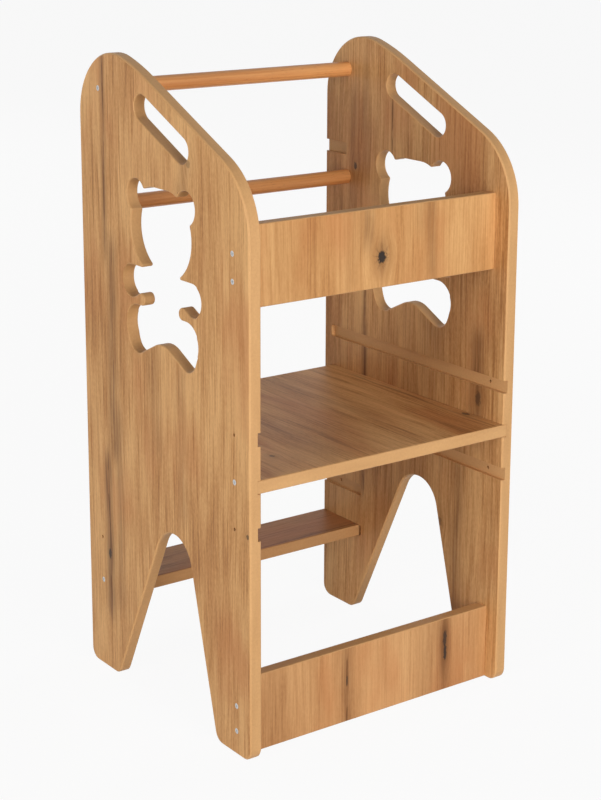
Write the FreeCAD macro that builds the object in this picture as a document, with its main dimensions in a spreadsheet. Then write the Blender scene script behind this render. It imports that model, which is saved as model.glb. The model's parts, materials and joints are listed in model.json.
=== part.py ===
"""Toddler kitchen helper stool: two sawn side boards, a standing board, a step,
two front rails and two round bars behind, screwed together through the sides.

Millimetres. +Z up, the child climbs in from behind (+Y) and faces the front (-Y).
The origin is on the floor, at the centre of the stool's footprint.
"""
import FreeCAD, Part
import math
import os
import Sketcher

V = FreeCAD.Vector
doc = FreeCAD.newDocument("KitchenHelperStool")

# ----------------------------------------------------------------- sizes (mm, degrees)
SIZES = [
    ("overall_width", 450.0, "outside to outside of the two side boards"),
    ("overall_depth", 420.0, "front edge to rear edge of a side board"),
    ("overall_height", 910.0, "floor to the crown of a side board"),
    ("board_thickness", 18.0, "all boards are cut from one 18 mm sheet"),
    ("edge_bevel", 2.0, "broken edge along the outline of a side board"),
    ("slot_edge_bevel", 1.2, "broken edge along the hand slot"),
    ("board_edge_radius", 2.0, "rounding along the rails, step and standing board"),
    # outline of a side board
    ("slope_angle", 24.8, "fall of the top edge towards the front"),
    ("slope_lift", 3.94, "the slope's line outside the rear round, closed by the crown"),
    ("front_corner_radius", 110.0, "round between slope and front edge"),
    ("crown_radius", 400.0, "gentle round between slope and crown"),
    ("rear_corner_radius", 90.0, "round between crown and rear edge"),
    ("front_foot_width", 82.0, "front foot at the floor, before its rounds"),
    ("rear_foot_width", 79.0, "rear foot at the floor, before its rounds"),
    ("front_leg_lean", 14.7, "inner side of the front leg, from upright"),
    ("rear_leg_lean", 25.6, "inner side of the rear leg, from upright"),
    ("leg_arch_radius", 45.0, "round at the top of the leg opening"),
    ("foot_radius", 18.0, "rounded corners of the feet"),
    # hand slot, parallel to the slope
    ("slot_length", 144.0, "overall length of the hand slot"),
    ("slot_width", 36.0, "width of the hand slot"),
    ("slot_bar", 23.0, "wood left between slot and sloping edge"),
    ("slot_offset", -4.0, "middle of the slot from the middle of the board"),
    # bear cut-out, drawn with arcs, symmetric about its own upright line
    ("bear_offset", 0.0, "bear's upright line from the middle of the board"),
    ("bear_drop", 406.0, "crown to the lowest point of the bear"),
    ("head_rise", 177.0, "middle of the head above the bear's lowest point"),
    ("head_radius", 59.5, "rounded ends of the head"),
    ("head_half_flat", 16.5, "half of the flat between them"),
    ("ear_rise", 220.0, "middle of an ear above the lowest point"),
    ("ear_reach", 62.0, "middle of an ear from the upright line"),
    ("ear_radius", 23.0, "ear"),
    ("paw_rise", 99.5, "middle of a paw above the lowest point"),
    ("paw_reach", 77.0, "middle of a paw from the upright line"),
    ("paw_radius", 22.7, "paw"),
    ("waist_half", 52.0, "half width where arm and leg part"),
    ("waist_notch_radius", 8.7, "round nose of that notch"),
    ("thigh_rise", 38.0, "middle of a thigh above the lowest point"),
    ("thigh_reach", 61.5, "middle of a thigh from the upright line"),
    ("thigh_radius", 30.0, "thigh"),
    ("bear_foot_reach", 63.0, "middle of a bear's foot from the upright line"),
    ("bear_foot_radius", 22.0, "bear's foot"),
    ("crotch_rise", 23.5, "top of the crotch above the lowest point"),
    ("crotch_radius", 42.0, "round of the crotch"),
    ("bear_nose_radius", 2.6, "rounds left by the cutter on inward points"),
    # routed grooves in the inner faces
    ("groove_depth", 6.0, "depth of every groove"),
    ("groove_play", 0.5, "groove height over board thickness"),
    ("board_end_gap", 0.2, "board end to groove floor"),
    ("groove_end_radius", 4.0, "rounded corners at a groove's blind end"),
    ("groove_end_gap", 4.5, "blind end of a groove past the board in it"),
    ("platform_height", 382.0, "middle of the standing board above the floor"),
    ("platform_pitch", 64.0, "between the three standing heights"),
    ("platform_depth", 398.0, "standing board, front to rear"),
    ("step_height", 135.0, "middle of the step above the floor"),
    ("step_pitch", 67.0, "between the two step heights"),
    ("step_depth", 93.0, "step, front to rear"),
    ("rear_groove_drop", 172.0, "crown to the middle of the short empty groove behind"),
    ("rear_groove_length", 52.0, "its length from the rear edge"),
    # rails
    ("top_rail_setback", 29.5, "front of the upper rail behind the front edges"),
    ("top_rail_height", 108.5, "upper front rail"),
    ("top_rail_drop", 299.8, "crown to its lower edge"),
    ("bottom_rail_setback", 24.5, "front of the lower rail behind the front edges"),
    ("bottom_rail_height", 110.0, "lower front rail"),
    ("bottom_rail_bottom", 0.5, "its lower edge above the floor"),
    ("rail_screw_pitch", 36.0, "between the two screws of a rail end"),
    ("top_rail_screw_rise", 36.8, "lower screw above the upper rail's edge"),
    ("bottom_rail_screw_rise", 33.5, "lower screw above the lower rail's edge"),
    # round bars behind
    ("bar_diameter", 22.0, "beech bars"),
    ("bar_socket_depth", 8.0, "blind socket in the side board"),
    ("bar_play", 0.1, "bar in its socket, on the radius and at the end"),
    ("bar_setback", 52.0, "middle of the bars before the rear edges"),
    ("top_bar_drop", 51.0, "crown to the middle of the top bar"),
    ("lower_bar_drop", 214.8, "crown to the middle of the lower bar"),
    # screws
    ("lock_setback", 36.0, "standing board's lock holes behind the front edge"),
    ("step_lock_setback", 38.5, "step's lock holes before the rear edge"),
    ("lock_hole_diameter", 5.0, "free lock holes"),
    ("screw_diameter", 8.0, "plain pins as thick as the screws' heads"),
    ("screw_sink", 0.2, "head below the face"),
    ("screw_play", 0.05, "screw in its hole, on the radius"),
    ("rail_screw_length", 50.0, "screws into the rail ends"),
    ("bar_screw_length", 45.0, "screws into the top bar's ends"),
    ("lock_tip_gap", 0.5, "lock screw's tip before the groove floor"),
    ("pilot_tip_gap", 1.0, "pilot hole past the screw's tip"),
    ("lock_pilot_diameter", 3.5, "pilot holes in the ends of step and standing board"),
    ("lock_pilot_depth", 30.0, "their depth"),
]

sheet = doc.addObject("Spreadsheet::Sheet", "Sizes")
for row, (alias, value, note) in enumerate(SIZES, start=1):
    sheet.set("A%d" % row, note)
    sheet.set("B%d" % row, str(value))
    sheet.setAlias("B%d" % row, alias)
doc.recompute()


class Sizes:
    """The sheet's cells as numbers, read by their alias."""

    def __getattr__(self, alias):
        return float(getattr(sheet, alias))


S = Sizes()

# places that follow from the sizes
HALF_WIDTH = S.overall_width / 2.0
HALF_DEPTH = S.overall_depth / 2.0
INNER_HALF = HALF_WIDTH - S.board_thickness
GROOVE_HEIGHT = S.board_thickness + S.groove_play
BOARD_LENGTH = 2.0 * (INNER_HALF + S.groove_depth - S.board_end_gap)
RAIL_LENGTH = 2.0 * INNER_HALF
TOP_RAIL_MIDDLE = -HALF_DEPTH + S.top_rail_setback + S.board_thickness / 2.0
BOTTOM_RAIL_MIDDLE = -HALF_DEPTH + S.bottom_rail_setback + S.board_thickness / 2.0
BAR_Y = HALF_DEPTH - S.bar_setback
BAR_LENGTH = 2.0 * (INNER_HALF + S.bar_socket_depth - S.bar_play)
LOCK_Y = -HALF_DEPTH + S.lock_setback
STEP_LOCK_Y = HALF_DEPTH - S.step_lock_setback
PLATFORM_LEVELS = [S.platform_height + k * S.platform_pitch for k in (-1, 0, 1)]
STEP_LEVELS = [S.step_height + k * S.step_pitch for k in (0, 1)]
TOP_RAIL_BOTTOM = S.overall_height - S.top_rail_drop
TOP_BAR_HEIGHT = S.overall_height - S.top_bar_drop
LOWER_BAR_HEIGHT = S.overall_height - S.lower_bar_drop
BEAR_HEIGHT = S.overall_height - S.bear_drop
TOP_SCREWS = [TOP_RAIL_BOTTOM + S.top_rail_screw_rise + k * S.rail_screw_pitch for k in (0, 1)]
BOTTOM_SCREWS = [S.bottom_rail_bottom + S.bottom_rail_screw_rise + k * S.rail_screw_pitch
                 for k in (0, 1)]


# ------------------------------------------------------------------ drawing helpers
def unit(angle):
    """Unit vector at an angle in degrees, in the plane of a sketch."""
    return V(math.cos(math.radians(angle)), math.sin(math.radians(angle)), 0)


def arc(centre, radius, start, end):
    """Arc from start to end, degrees, counter-clockwise when end > start."""
    middle = (start + end) / 2.0
    return Part.Arc(centre + unit(start) * radius, centre + unit(middle) * radius,
                    centre + unit(end) * radius)


def line(first, last):
    """Straight edge between two points."""
    return Part.LineSegment(first, last)


def turn(first, corner, last, radius):
    """Tangent points and arc that round the corner between two straight runs."""
    a = (first - corner).normalize()
    b = (last - corner).normalize()
    half = a.getAngle(b) / 2.0
    reach = radius / math.tan(half)
    centre = corner + (a + b).normalize() * (radius / math.sin(half))
    start, end = corner + a * reach, corner + b * reach
    middle = centre + (corner - centre).normalize() * radius
    return start, Part.Arc(start, middle, end), end


def rounded_outline(points, radii):
    """Closed outline through the points, each corner rounded by its radius."""
    count = len(points)
    curves, tips = [], []
    for k in range(count):
        first, corner, last = points[k - 1], points[k], points[(k + 1) % count]
        if radii[k] > 0:
            tips.append(turn(first, corner, last, radii[k]))
        else:
            tips.append((corner, None, corner))
    for k in range(count):
        if tips[k][1] is not None:
            curves.append(tips[k][1])
        start, end = tips[k][2], tips[(k + 1) % count][0]
        if start.distanceToPoint(end) > 1e-6:
            curves.append(line(start, end))
    return curves


def stadium(first, last, radius):
    """Outline round two circles of one radius."""
    lean = math.degrees(math.atan2(last.y - first.y, last.x - first.x))
    side = unit(lean + 90) * radius
    return [line(first - side, last - side), arc(last, radius, lean - 90, lean + 90),
            line(last + side, first + side), arc(first, radius, lean + 90, lean + 270)]


def plate(curves):
    """Plate 1 mm thick inside a closed run of curves."""
    face = Part.Face(Part.Wire(Part.__sortEdges__([c.toShape() for c in curves])))
    return face.extrude(V(0, 0, 1))


def disc(centre, radius):
    """Round plate 1 mm thick."""
    return Part.makeCylinder(radius, 1.0, centre)


def curves_of(wire):
    """Sketch curves of a wire made of straight and round edges."""
    out = []
    for edge in wire.OrderedEdges:
        if edge.Curve.TypeId == "Part::GeomLine":
            out.append(line(edge.firstVertex().Point, edge.lastVertex().Point))
        else:
            first, last = edge.ParameterRange
            out.append(Part.Arc(edge.valueAt(first), edge.valueAt((first + last) / 2.0),
                                edge.valueAt(last)))
    return out


# ------------------------------------------------------------------- feature helpers
def new_body(label, x=0.0, y=0.0, z=0.0):
    """Empty body with its own name and place."""
    body = doc.addObject("PartDesign::Body", label)
    body.Label = label
    body.Placement = FreeCAD.Placement(V(x, y, z), FreeCAD.Rotation())
    return body


def new_sketch(body, plane, name, curves, lift=0.0):
    """Sketch on one of the body's own origin planes, lifted along its normal."""
    sketch = body.newObject("Sketcher::SketchObject", name)
    for feature in body.Origin.OriginFeatures:
        if feature.Role == plane:
            sketch.AttachmentSupport = [(feature, "")]
    sketch.MapMode = "FlatFace"
    sketch.AttachmentOffset = FreeCAD.Placement(V(0, 0, lift), FreeCAD.Rotation())
    sketch.addGeometry(curves, False)
    return sketch


def bound_rectangle(body, plane, name, low, size, width, height):
    """Rectangle from its low corner, its two sides bound to the sheet."""
    x, y = low
    w, h = size
    corners = [V(x, y, 0), V(x + w, y, 0), V(x + w, y + h, 0), V(x, y + h, 0)]
    sketch = new_sketch(body, plane, name,
                        [line(corners[k], corners[(k + 1) % 4]) for k in range(4)])
    for k in range(4):
        sketch.addConstraint(Sketcher.Constraint("Coincident", k, 2, (k + 1) % 4, 1))
        sketch.addConstraint(Sketcher.Constraint("Horizontal" if k % 2 == 0 else "Vertical", k))
    for name, side, value, formula in (("width", 0, w, width), ("height", 1, h, height)):
        index = sketch.addConstraint(Sketcher.Constraint("Distance", side, value))
        sketch.renameConstraint(index, name)
        sketch.setExpression("Constraints." + name, formula)
    # the low corner stays where the sizes put it
    sketch.addConstraint(Sketcher.Constraint("DistanceX", -1, 1, 0, 1, x))
    sketch.addConstraint(Sketcher.Constraint("DistanceY", -1, 1, 0, 1, y))
    return sketch


def circles(body, plane, name, spots, diameter, formula, lift=0.0):
    """Sketch of equal circles, their diameter bound to the sheet."""
    sketch = new_sketch(body, plane, name,
                        [Part.Circle(V(x, y, 0), V(0, 0, 1), diameter / 2.0) for x, y in spots],
                        lift)
    for k in range(len(spots)):
        index = sketch.addConstraint(Sketcher.Constraint("Diameter", k, diameter))
        sketch.renameConstraint(index, "diameter%d" % k)
        sketch.setExpression("Constraints.diameter%d" % k, formula)
    return sketch


def pad(body, sketch, name, formula, reverse=False):
    """Board of the sketch's outline, its thickness bound to the sheet."""
    feature = body.newObject("PartDesign::Pad", name)
    feature.Profile = sketch
    feature.Reversed = reverse
    feature.setExpression("Length", formula)
    doc.recompute()
    return feature


def volume(body):
    """Volume of what the body holds so far."""
    return body.Shape.Volume


def pocket(body, sketch, name, formula, reverse=False, through=False):
    """Cut of the sketch's outline; stops the build when nothing is cut."""
    before = volume(body)
    feature = body.newObject("PartDesign::Pocket", name)
    feature.Profile = sketch
    feature.Reversed = reverse
    if through:
        feature.Type = "ThroughAll"
        feature.Midplane = True
    else:
        feature.setExpression("Length", formula)
    doc.recompute()
    if volume(body) > before - 1e-3:
        raise RuntimeError("%s of %s cuts nothing" % (name, body.Label))
    return feature


def ease(body, base, kind, name, picks, formula):
    """Fillet or Chamfer of the picked edges, its size bound to the sheet."""
    edges = ["Edge%d" % (k + 1) for k, edge in enumerate(base.Shape.Edges) if picks(edge)]
    feature = body.newObject("PartDesign::" + kind, name)
    feature.Base = (base, edges)
    feature.setExpression("Radius" if kind == "Fillet" else "Size", formula)
    doc.recompute()
    return feature


# ----------------------------------------------------------------- side board outline
def rear_round():
    """Centre of the rear round: it touches the rear edge and the overall height."""
    return V(HALF_DEPTH - S.rear_corner_radius, S.overall_height - S.rear_corner_radius, 0)


def front_corner():
    """Where the slope's line would meet the front edge."""
    along, up = unit(S.slope_angle), unit(S.slope_angle + 90)
    on_slope = rear_round() + up * (S.rear_corner_radius + S.slope_lift)
    return on_slope - along * ((on_slope.x + HALF_DEPTH) / along.x)


def board_outline():
    """Outline of a side board, front to the left, as drawn on the saw's template."""
    front, rear = -HALF_DEPTH, HALF_DEPTH
    along = unit(S.slope_angle)
    up = unit(S.slope_angle + 90)
    corner = front_corner()
    # crown: touches the slope and the rear round
    rear_centre = rear_round()
    drop = S.rear_corner_radius + S.slope_lift
    reach = math.sqrt((S.crown_radius - S.rear_corner_radius) ** 2 - (S.crown_radius - drop) ** 2)
    crown_centre = rear_centre - along * reach - up * (S.crown_radius - drop)
    crown_start = crown_centre + up * S.crown_radius
    link = (rear_centre - crown_centre).normalize()
    crown_end = crown_centre + link * S.crown_radius
    crown_middle = crown_centre + (up + link).normalize() * S.crown_radius
    link_angle = math.degrees(math.atan2(link.y, link.x))
    # front round between slope and front edge
    front_start, front_arc, front_end = turn(V(front, 0, 0), corner, crown_start,
                                             S.front_corner_radius)
    # leg opening: two leaning sides and the round that touches both
    front_toe = V(front + S.front_foot_width, 0, 0)
    rear_toe = V(rear - S.rear_foot_width, 0, 0)
    front_side = unit(90 - S.front_leg_lean)
    rear_side = unit(90 + S.rear_leg_lean)
    span = rear_toe.x - front_toe.x
    spread = math.radians(S.front_leg_lean + S.rear_leg_lean)
    apex = front_toe + front_side * (span * math.cos(math.radians(S.rear_leg_lean))
                                     / math.sin(spread))
    arch_start, arch, arch_end = turn(front_toe, apex, rear_toe, S.leg_arch_radius)
    curves = [front_arc, line(front_end, crown_start),
              Part.Arc(crown_start, crown_middle, crown_end),
              arc(rear_centre, S.rear_corner_radius, link_angle, 0)]
    heel = [V(rear, 0, 0), rear_toe, front_toe, V(front, 0, 0)]
    rear_heel = turn(V(rear, S.overall_height, 0), heel[0], heel[1], S.foot_radius)
    rear_tip = turn(heel[0], heel[1], arch_end, S.foot_radius)
    front_tip = turn(arch_start, heel[2], heel[3], S.foot_radius)
    front_heel = turn(heel[2], heel[3], front_start, S.foot_radius)
    curves += [line(V(rear, rear_centre.y, 0), rear_heel[0]), rear_heel[1],
               line(rear_heel[2], rear_tip[0]), rear_tip[1], line(rear_tip[2], arch_end), arch,
               line(arch_start, front_tip[0]), front_tip[1], line(front_tip[2], front_heel[0]),
               front_heel[1], line(front_heel[2], front_start)]
    return curves


def slot_outline():
    """Hand slot, parallel to the slope and a bar's width below it."""
    along, up = unit(S.slope_angle), unit(S.slope_angle + 90)
    corner = front_corner()
    run = (S.slot_offset + HALF_DEPTH + up.x * (S.slot_bar + S.slot_width / 2.0)) / along.x
    middle = corner + along * run - up * (S.slot_bar + S.slot_width / 2.0)
    half = (S.slot_length - S.slot_width) / 2.0
    return stadium(middle - along * half, middle + along * half, S.slot_width / 2.0)


def bridge(first, first_radius, last, last_radius, side):
    """Ends of the straight run that leaves one circle and joins the other smoothly.

    The radii have opposite signs where the run crosses over between the circles.
    side is +1 or -1, for the run that lies left or right of the way between centres.
    """
    gap = last - first
    lean = math.degrees(math.atan2(gap.y, gap.x)) + side * math.degrees(
        math.acos((first_radius - last_radius) / gap.Length))
    return first + unit(lean) * first_radius, last + unit(lean) * last_radius


def bear_outline():
    """Sitting bear of plain arcs: head, ears, paws, waist, thighs and feet.

    Every arc runs smoothly into the next but at the ears and under the chin, where
    the cutter leaves its own radius.
    """
    def spot(side, reach, rise):
        return V(S.bear_offset + side * reach, BEAR_HEIGHT + rise, 0)

    notch_rise = S.thigh_rise + S.thigh_radius + S.waist_notch_radius
    arch = spot(1, 0, S.crotch_rise - S.crotch_radius)
    plates = [plate(stadium(spot(-1, S.head_half_flat, S.head_rise),
                            spot(1, S.head_half_flat, S.head_rise), S.head_radius))]
    belly, notches = [], []
    for side in (1, -1):
        paw = spot(side, S.paw_reach, S.paw_rise)
        thigh = spot(side, S.thigh_reach, S.thigh_rise)
        foot = spot(side, S.bear_foot_reach, S.bear_foot_radius)
        notch = spot(side, S.waist_half, notch_rise)
        plates += [disc(spot(side, S.ear_reach, S.ear_rise), S.ear_radius),
                   disc(paw, S.paw_radius), disc(thigh, S.thigh_radius),
                   disc(foot, S.bear_foot_radius)]
        notches.append(disc(notch, S.waist_notch_radius))
        # straight runs: notch to paw, thigh to foot, arch of the crotch to foot
        over, under = bridge(notch, S.waist_notch_radius, paw, -S.paw_radius, side)
        shin, heel = bridge(thigh, S.thigh_radius, foot, S.bear_foot_radius, side)
        arch_end, toe = bridge(arch, S.crotch_radius, foot, -S.bear_foot_radius, side)
        half = [arch_end, toe, foot, heel, shin, thigh, thigh + V(0, S.thigh_radius, 0),
                notch - V(0, S.waist_notch_radius, 0), notch, over, under, paw,
                paw + V(0, S.paw_radius, 0)]
        belly.append(half)
    points = belly[0] + belly[1][::-1]
    runs = [line(points[k], points[k + 1]) for k in range(len(points) - 1)]
    runs.append(Part.Arc(points[-1], spot(1, 0, S.crotch_rise), points[0]))
    plates.append(plate(runs).cut(notches[0]).cut(notches[1]))
    whole = plates[0].multiFuse(plates[1:]).removeSplitter()
    outer = [face for face in whole.Faces
             if face.BoundBox.ZLength < 1e-6 and abs(face.CenterOfMass.z) < 1e-6][0]
    # a round cutter leaves its radius on every point of wood that reaches in
    wide = outer.makeOffset2D(S.bear_nose_radius)
    again = Part.Face(wide.OuterWire if wide.ShapeType == "Face" else wide.Wires[0])
    wire = again.makeOffset2D(-S.bear_nose_radius)
    return curves_of(wire.OuterWire if wire.ShapeType == "Face" else wire.Wires[0])


def groove_outline(blind, mouth, height, past):
    """Groove open at one edge of the board, with rounded corners at its blind end."""
    half = GROOVE_HEIGHT / 2.0
    out = mouth + past
    points = [V(blind, height - half, 0), V(out, height - half, 0),
              V(out, height + half, 0), V(blind, height + half, 0)]
    return rounded_outline(points, [S.groove_end_radius, 0, 0, S.groove_end_radius])


# ------------------------------------------------------------------------- side boards
def side_board(label, side):
    """Side board with its cut-outs, grooves, sockets and screw holes.

    side is -1 for the board at -X and +1 for the one at +X. The body's own YZ plane
    is the outer face, and the board grows from it towards the middle of the stool.
    """
    body = new_body(label, side * HALF_WIDTH)
    right = side > 0
    inner = -side * S.board_thickness
    board = pad(body, new_sketch(body, "YZ_Plane", "Outline", board_outline()), "Board",
                "Sizes.board_thickness", reverse=right)
    ease(body, board, "Chamfer", "OutlineBevel", lambda edge: edge.BoundBox.XLength < 1e-4,
         "Sizes.edge_bevel")
    sketch = new_sketch(body, "YZ_Plane", "HandSlotOutline", slot_outline())
    cut = pocket(body, sketch, "HandSlot", "", through=True)
    window = sketch.Shape.BoundBox

    def on_rim(edge):
        """True for an edge of the hand slot in one of the board's two faces."""
        return edge.BoundBox.XLength < 1e-4 and all(
            window.YMin - 0.1 < v.Y < window.YMax + 0.1
            and window.ZMin - 0.1 < v.Z < window.ZMax + 0.1 for v in edge.Vertexes)

    ease(body, cut, "Chamfer", "HandSlotBevel", on_rim, "Sizes.slot_edge_bevel")
    pocket(body, new_sketch(body, "YZ_Plane", "BearOutline", bear_outline()), "Bear", "",
           through=True)

    # grooves: three for the standing board, two for the step, one short one
    past = 2.0 * S.edge_bevel
    blind = -HALF_DEPTH + S.platform_depth + S.groove_end_gap
    for level, height in enumerate(PLATFORM_LEVELS, start=1):
        curves = groove_outline(blind, -HALF_DEPTH, height, -past)
        pocket(body, new_sketch(body, "YZ_Plane", "StandGrooveOutline%d" % level, curves, inner),
               "StandGroove%d" % level, "Sizes.groove_depth", reverse=right)
    blind = HALF_DEPTH - S.step_depth - S.groove_end_gap
    for level, height in enumerate(STEP_LEVELS, start=1):
        curves = groove_outline(blind, HALF_DEPTH, height, past)
        pocket(body, new_sketch(body, "YZ_Plane", "StepGrooveOutline%d" % level, curves, inner),
               "StepGroove%d" % level, "Sizes.groove_depth", reverse=right)
    curves = groove_outline(HALF_DEPTH - S.rear_groove_length, HALF_DEPTH,
                            S.overall_height - S.rear_groove_drop, past)
    pocket(body, new_sketch(body, "YZ_Plane", "RearGrooveOutline", curves, inner),
           "RearGroove", "Sizes.groove_depth", reverse=right)

    # sockets for the two bars
    spots = [(BAR_Y, TOP_BAR_HEIGHT), (BAR_Y, LOWER_BAR_HEIGHT)]
    pocket(body, circles(body, "YZ_Plane", "SocketOutlines", spots,
                         S.bar_diameter + 2 * S.bar_play,
                         "Sizes.bar_diameter + 2 * Sizes.bar_play", inner),
           "BarSockets", "Sizes.bar_socket_depth", reverse=right)

    # free lock holes, then the holes that hold a screw
    free = [(LOCK_Y, PLATFORM_LEVELS[0]), (LOCK_Y, PLATFORM_LEVELS[2]),
            (STEP_LOCK_Y, STEP_LEVELS[1])]
    pocket(body, circles(body, "YZ_Plane", "FreeHoleOutlines", free, S.lock_hole_diameter,
                         "Sizes.lock_hole_diameter"), "FreeLockHoles", "", through=True)
    held = [(TOP_RAIL_MIDDLE, height) for height in TOP_SCREWS]
    held += [(BOTTOM_RAIL_MIDDLE, height) for height in BOTTOM_SCREWS]
    held += [(LOCK_Y, PLATFORM_LEVELS[1]), (STEP_LOCK_Y, STEP_LEVELS[0]),
             (BAR_Y, TOP_BAR_HEIGHT)]
    pocket(body, circles(body, "YZ_Plane", "ScrewHoleOutlines", held,
                         S.screw_diameter + 2 * S.screw_play,
                         "Sizes.screw_diameter + 2 * Sizes.screw_play"),
           "ScrewHoles", "", through=True)
    return body


# ------------------------------------------------------------------------------ boards
def flat_board(label, depth, depth_cell, y, level, lock_y):
    """Standing board or step: runs across, its ends in the grooves of the side boards."""
    body = new_body(label, 0.0, y, level - S.board_thickness / 2.0)
    sketch = bound_rectangle(
        body, "XY_Plane", "Outline", (-BOARD_LENGTH / 2.0, 0.0), (BOARD_LENGTH, depth),
        "Sizes.overall_width - 2 * Sizes.board_thickness"
        " + 2 * Sizes.groove_depth - 2 * Sizes.board_end_gap", depth_cell)
    board = pad(body, sketch, "Board", "Sizes.board_thickness")
    ease(body, board, "Fillet", "EdgeRounds", lambda edge: edge.BoundBox.XLength > 1.0,
         "Sizes.board_edge_radius")
    for name, side in (("PilotLeft", -1), ("PilotRight", 1)):
        spots = [(lock_y - y, S.board_thickness / 2.0)]
        pocket(body, circles(body, "YZ_Plane", name + "Outline", spots, S.lock_pilot_diameter,
                             "Sizes.lock_pilot_diameter", side * BOARD_LENGTH / 2.0),
               name, "Sizes.lock_pilot_depth", reverse=side < 0)
    return body


def rail(label, setback, height, height_cell, bottom, screw_rise):
    """Front rail: an upright board between the side boards, screwed through them."""
    body = new_body(label, 0.0, -HALF_DEPTH + setback, bottom)
    sketch = bound_rectangle(body, "XZ_Plane", "Outline", (-RAIL_LENGTH / 2.0, 0.0),
                             (RAIL_LENGTH, height),
                             "Sizes.overall_width - 2 * Sizes.board_thickness", height_cell)
    board = pad(body, sketch, "Board", "Sizes.board_thickness", reverse=True)
    ease(body, board, "Fillet", "EdgeRounds", lambda edge: edge.BoundBox.XLength > 1.0,
         "Sizes.board_edge_radius")
    spots = [(S.board_thickness / 2.0, screw_rise + k * S.rail_screw_pitch) for k in (0, 1)]
    for name, side in (("PilotsLeft", -1), ("PilotsRight", 1)):
        pocket(body, circles(body, "YZ_Plane", name + "Outline", spots,
                             S.screw_diameter + 2 * S.screw_play,
                             "Sizes.screw_diameter + 2 * Sizes.screw_play",
                             side * RAIL_LENGTH / 2.0),
               name, "Sizes.rail_screw_length + Sizes.screw_sink - Sizes.board_thickness"
                     " + Sizes.pilot_tip_gap", reverse=side < 0)
    return body


def bar(label, height, screwed):
    """Round bar across the back, its ends in blind sockets."""
    body = new_body(label, 0.0, BAR_Y, height)
    sketch = circles(body, "YZ_Plane", "Section", [(0.0, 0.0)], S.bar_diameter,
                     "Sizes.bar_diameter", -BAR_LENGTH / 2.0)
    pad(body, sketch, "Bar", "Sizes.overall_width - 2 * Sizes.board_thickness"
                             " + 2 * Sizes.bar_socket_depth - 2 * Sizes.bar_play")
    if screwed:
        for name, side in (("PilotLeft", -1), ("PilotRight", 1)):
            pocket(body, circles(body, "YZ_Plane", name + "Outline", [(0.0, 0.0)],
                                 S.screw_diameter + 2 * S.screw_play,
                                 "Sizes.screw_diameter + 2 * Sizes.screw_play",
                                 side * BAR_LENGTH / 2.0),
                   name, "Sizes.bar_screw_length + Sizes.screw_sink - Sizes.board_thickness"
                         " + Sizes.bar_socket_depth - Sizes.bar_play + Sizes.pilot_tip_gap",
                   reverse=side < 0)
    return body


def screw(label, side, y, height, length_cell):
    """Screw as a plain pin, its head just below the outer face of a side board."""
    face = side * (HALF_WIDTH - S.screw_sink)
    body = new_body(label, face, y, height)
    sketch = circles(body, "YZ_Plane", "Section", [(0.0, 0.0)], S.screw_diameter,
                     "Sizes.screw_diameter")
    pad(body, sketch, "Pin", length_cell, reverse=side > 0)
    return body


# ---------------------------------------------------------------------------- assembly
nodes = [
    side_board("left_side_panel", -1),
    side_board("right_side_panel", 1),
    flat_board("platform", S.platform_depth, "Sizes.platform_depth", -HALF_DEPTH,
               S.platform_height, LOCK_Y),
    flat_board("step_board", S.step_depth, "Sizes.step_depth", HALF_DEPTH - S.step_depth,
               S.step_height, STEP_LOCK_Y),
    rail("front_top_rail", S.top_rail_setback, S.top_rail_height, "Sizes.top_rail_height",
         TOP_RAIL_BOTTOM, S.top_rail_screw_rise),
    rail("front_bottom_rail", S.bottom_rail_setback, S.bottom_rail_height,
         "Sizes.bottom_rail_height", S.bottom_rail_bottom, S.bottom_rail_screw_rise),
    bar("rear_top_bar", TOP_BAR_HEIGHT, True),
    bar("rear_lower_bar", LOWER_BAR_HEIGHT, False),
]
LOCK_CELLS = ("Sizes.board_thickness - Sizes.groove_depth - Sizes.lock_tip_gap"
              " - Sizes.screw_sink")
for side, hand in ((-1, "left"), (1, "right")):
    for rail_name, middle, heights in (("top_rail", TOP_RAIL_MIDDLE, TOP_SCREWS),
                                       ("bottom_rail", BOTTOM_RAIL_MIDDLE, BOTTOM_SCREWS)):
        for place, height in zip(("lower", "upper"), heights):
            nodes.append(screw("%s_%s_screw_%s" % (rail_name, place, hand), side, middle,
                               height, "Sizes.rail_screw_length"))
    nodes.append(screw("platform_lock_screw_" + hand, side, LOCK_Y, S.platform_height,
                       LOCK_CELLS))
    nodes.append(screw("step_lock_screw_" + hand, side, STEP_LOCK_Y, S.step_height,
                       LOCK_CELLS))
    nodes.append(screw("top_bar_screw_" + hand, side, BAR_Y, TOP_BAR_HEIGHT,
                       "Sizes.bar_screw_length"))

doc.recompute()
for item in doc.Objects:
    if "Invalid" in item.State or "Error" in item.State:
        raise RuntimeError("%s failed: %s" % (item.Label, item.State))
os.makedirs("parts", exist_ok=True)
for node in nodes:
    shape = node.Shape
    if shape.isNull() or not shape.isValid() or len(shape.Solids) != 1:
        raise RuntimeError("%s is not one sound solid" % node.Label)
    box = shape.BoundBox
    print("%-32s x %8.2f %8.2f  y %8.2f %8.2f  z %8.2f %8.2f  %10.1f mm3" % (
        node.Label, box.XMin, box.XMax, box.YMin, box.YMax, box.ZMin, box.ZMax, shape.Volume))
    shape.exportStep("parts/%s.step" % node.Label)
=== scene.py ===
"""Looks of the toddler kitchen helper stool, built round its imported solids.

Metres. +Z up, -Y the front with the two flat rails, +Y the rear where the child
climbs in. The faces of the boards are oak-look laminate, their edges plain tan.
"""
import json
import logging
import math
from dataclasses import dataclass
from enum import Enum
from typing import Iterable, Optional, Union

import bmesh
import bpy
from mathutils import Matrix, Vector

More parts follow.
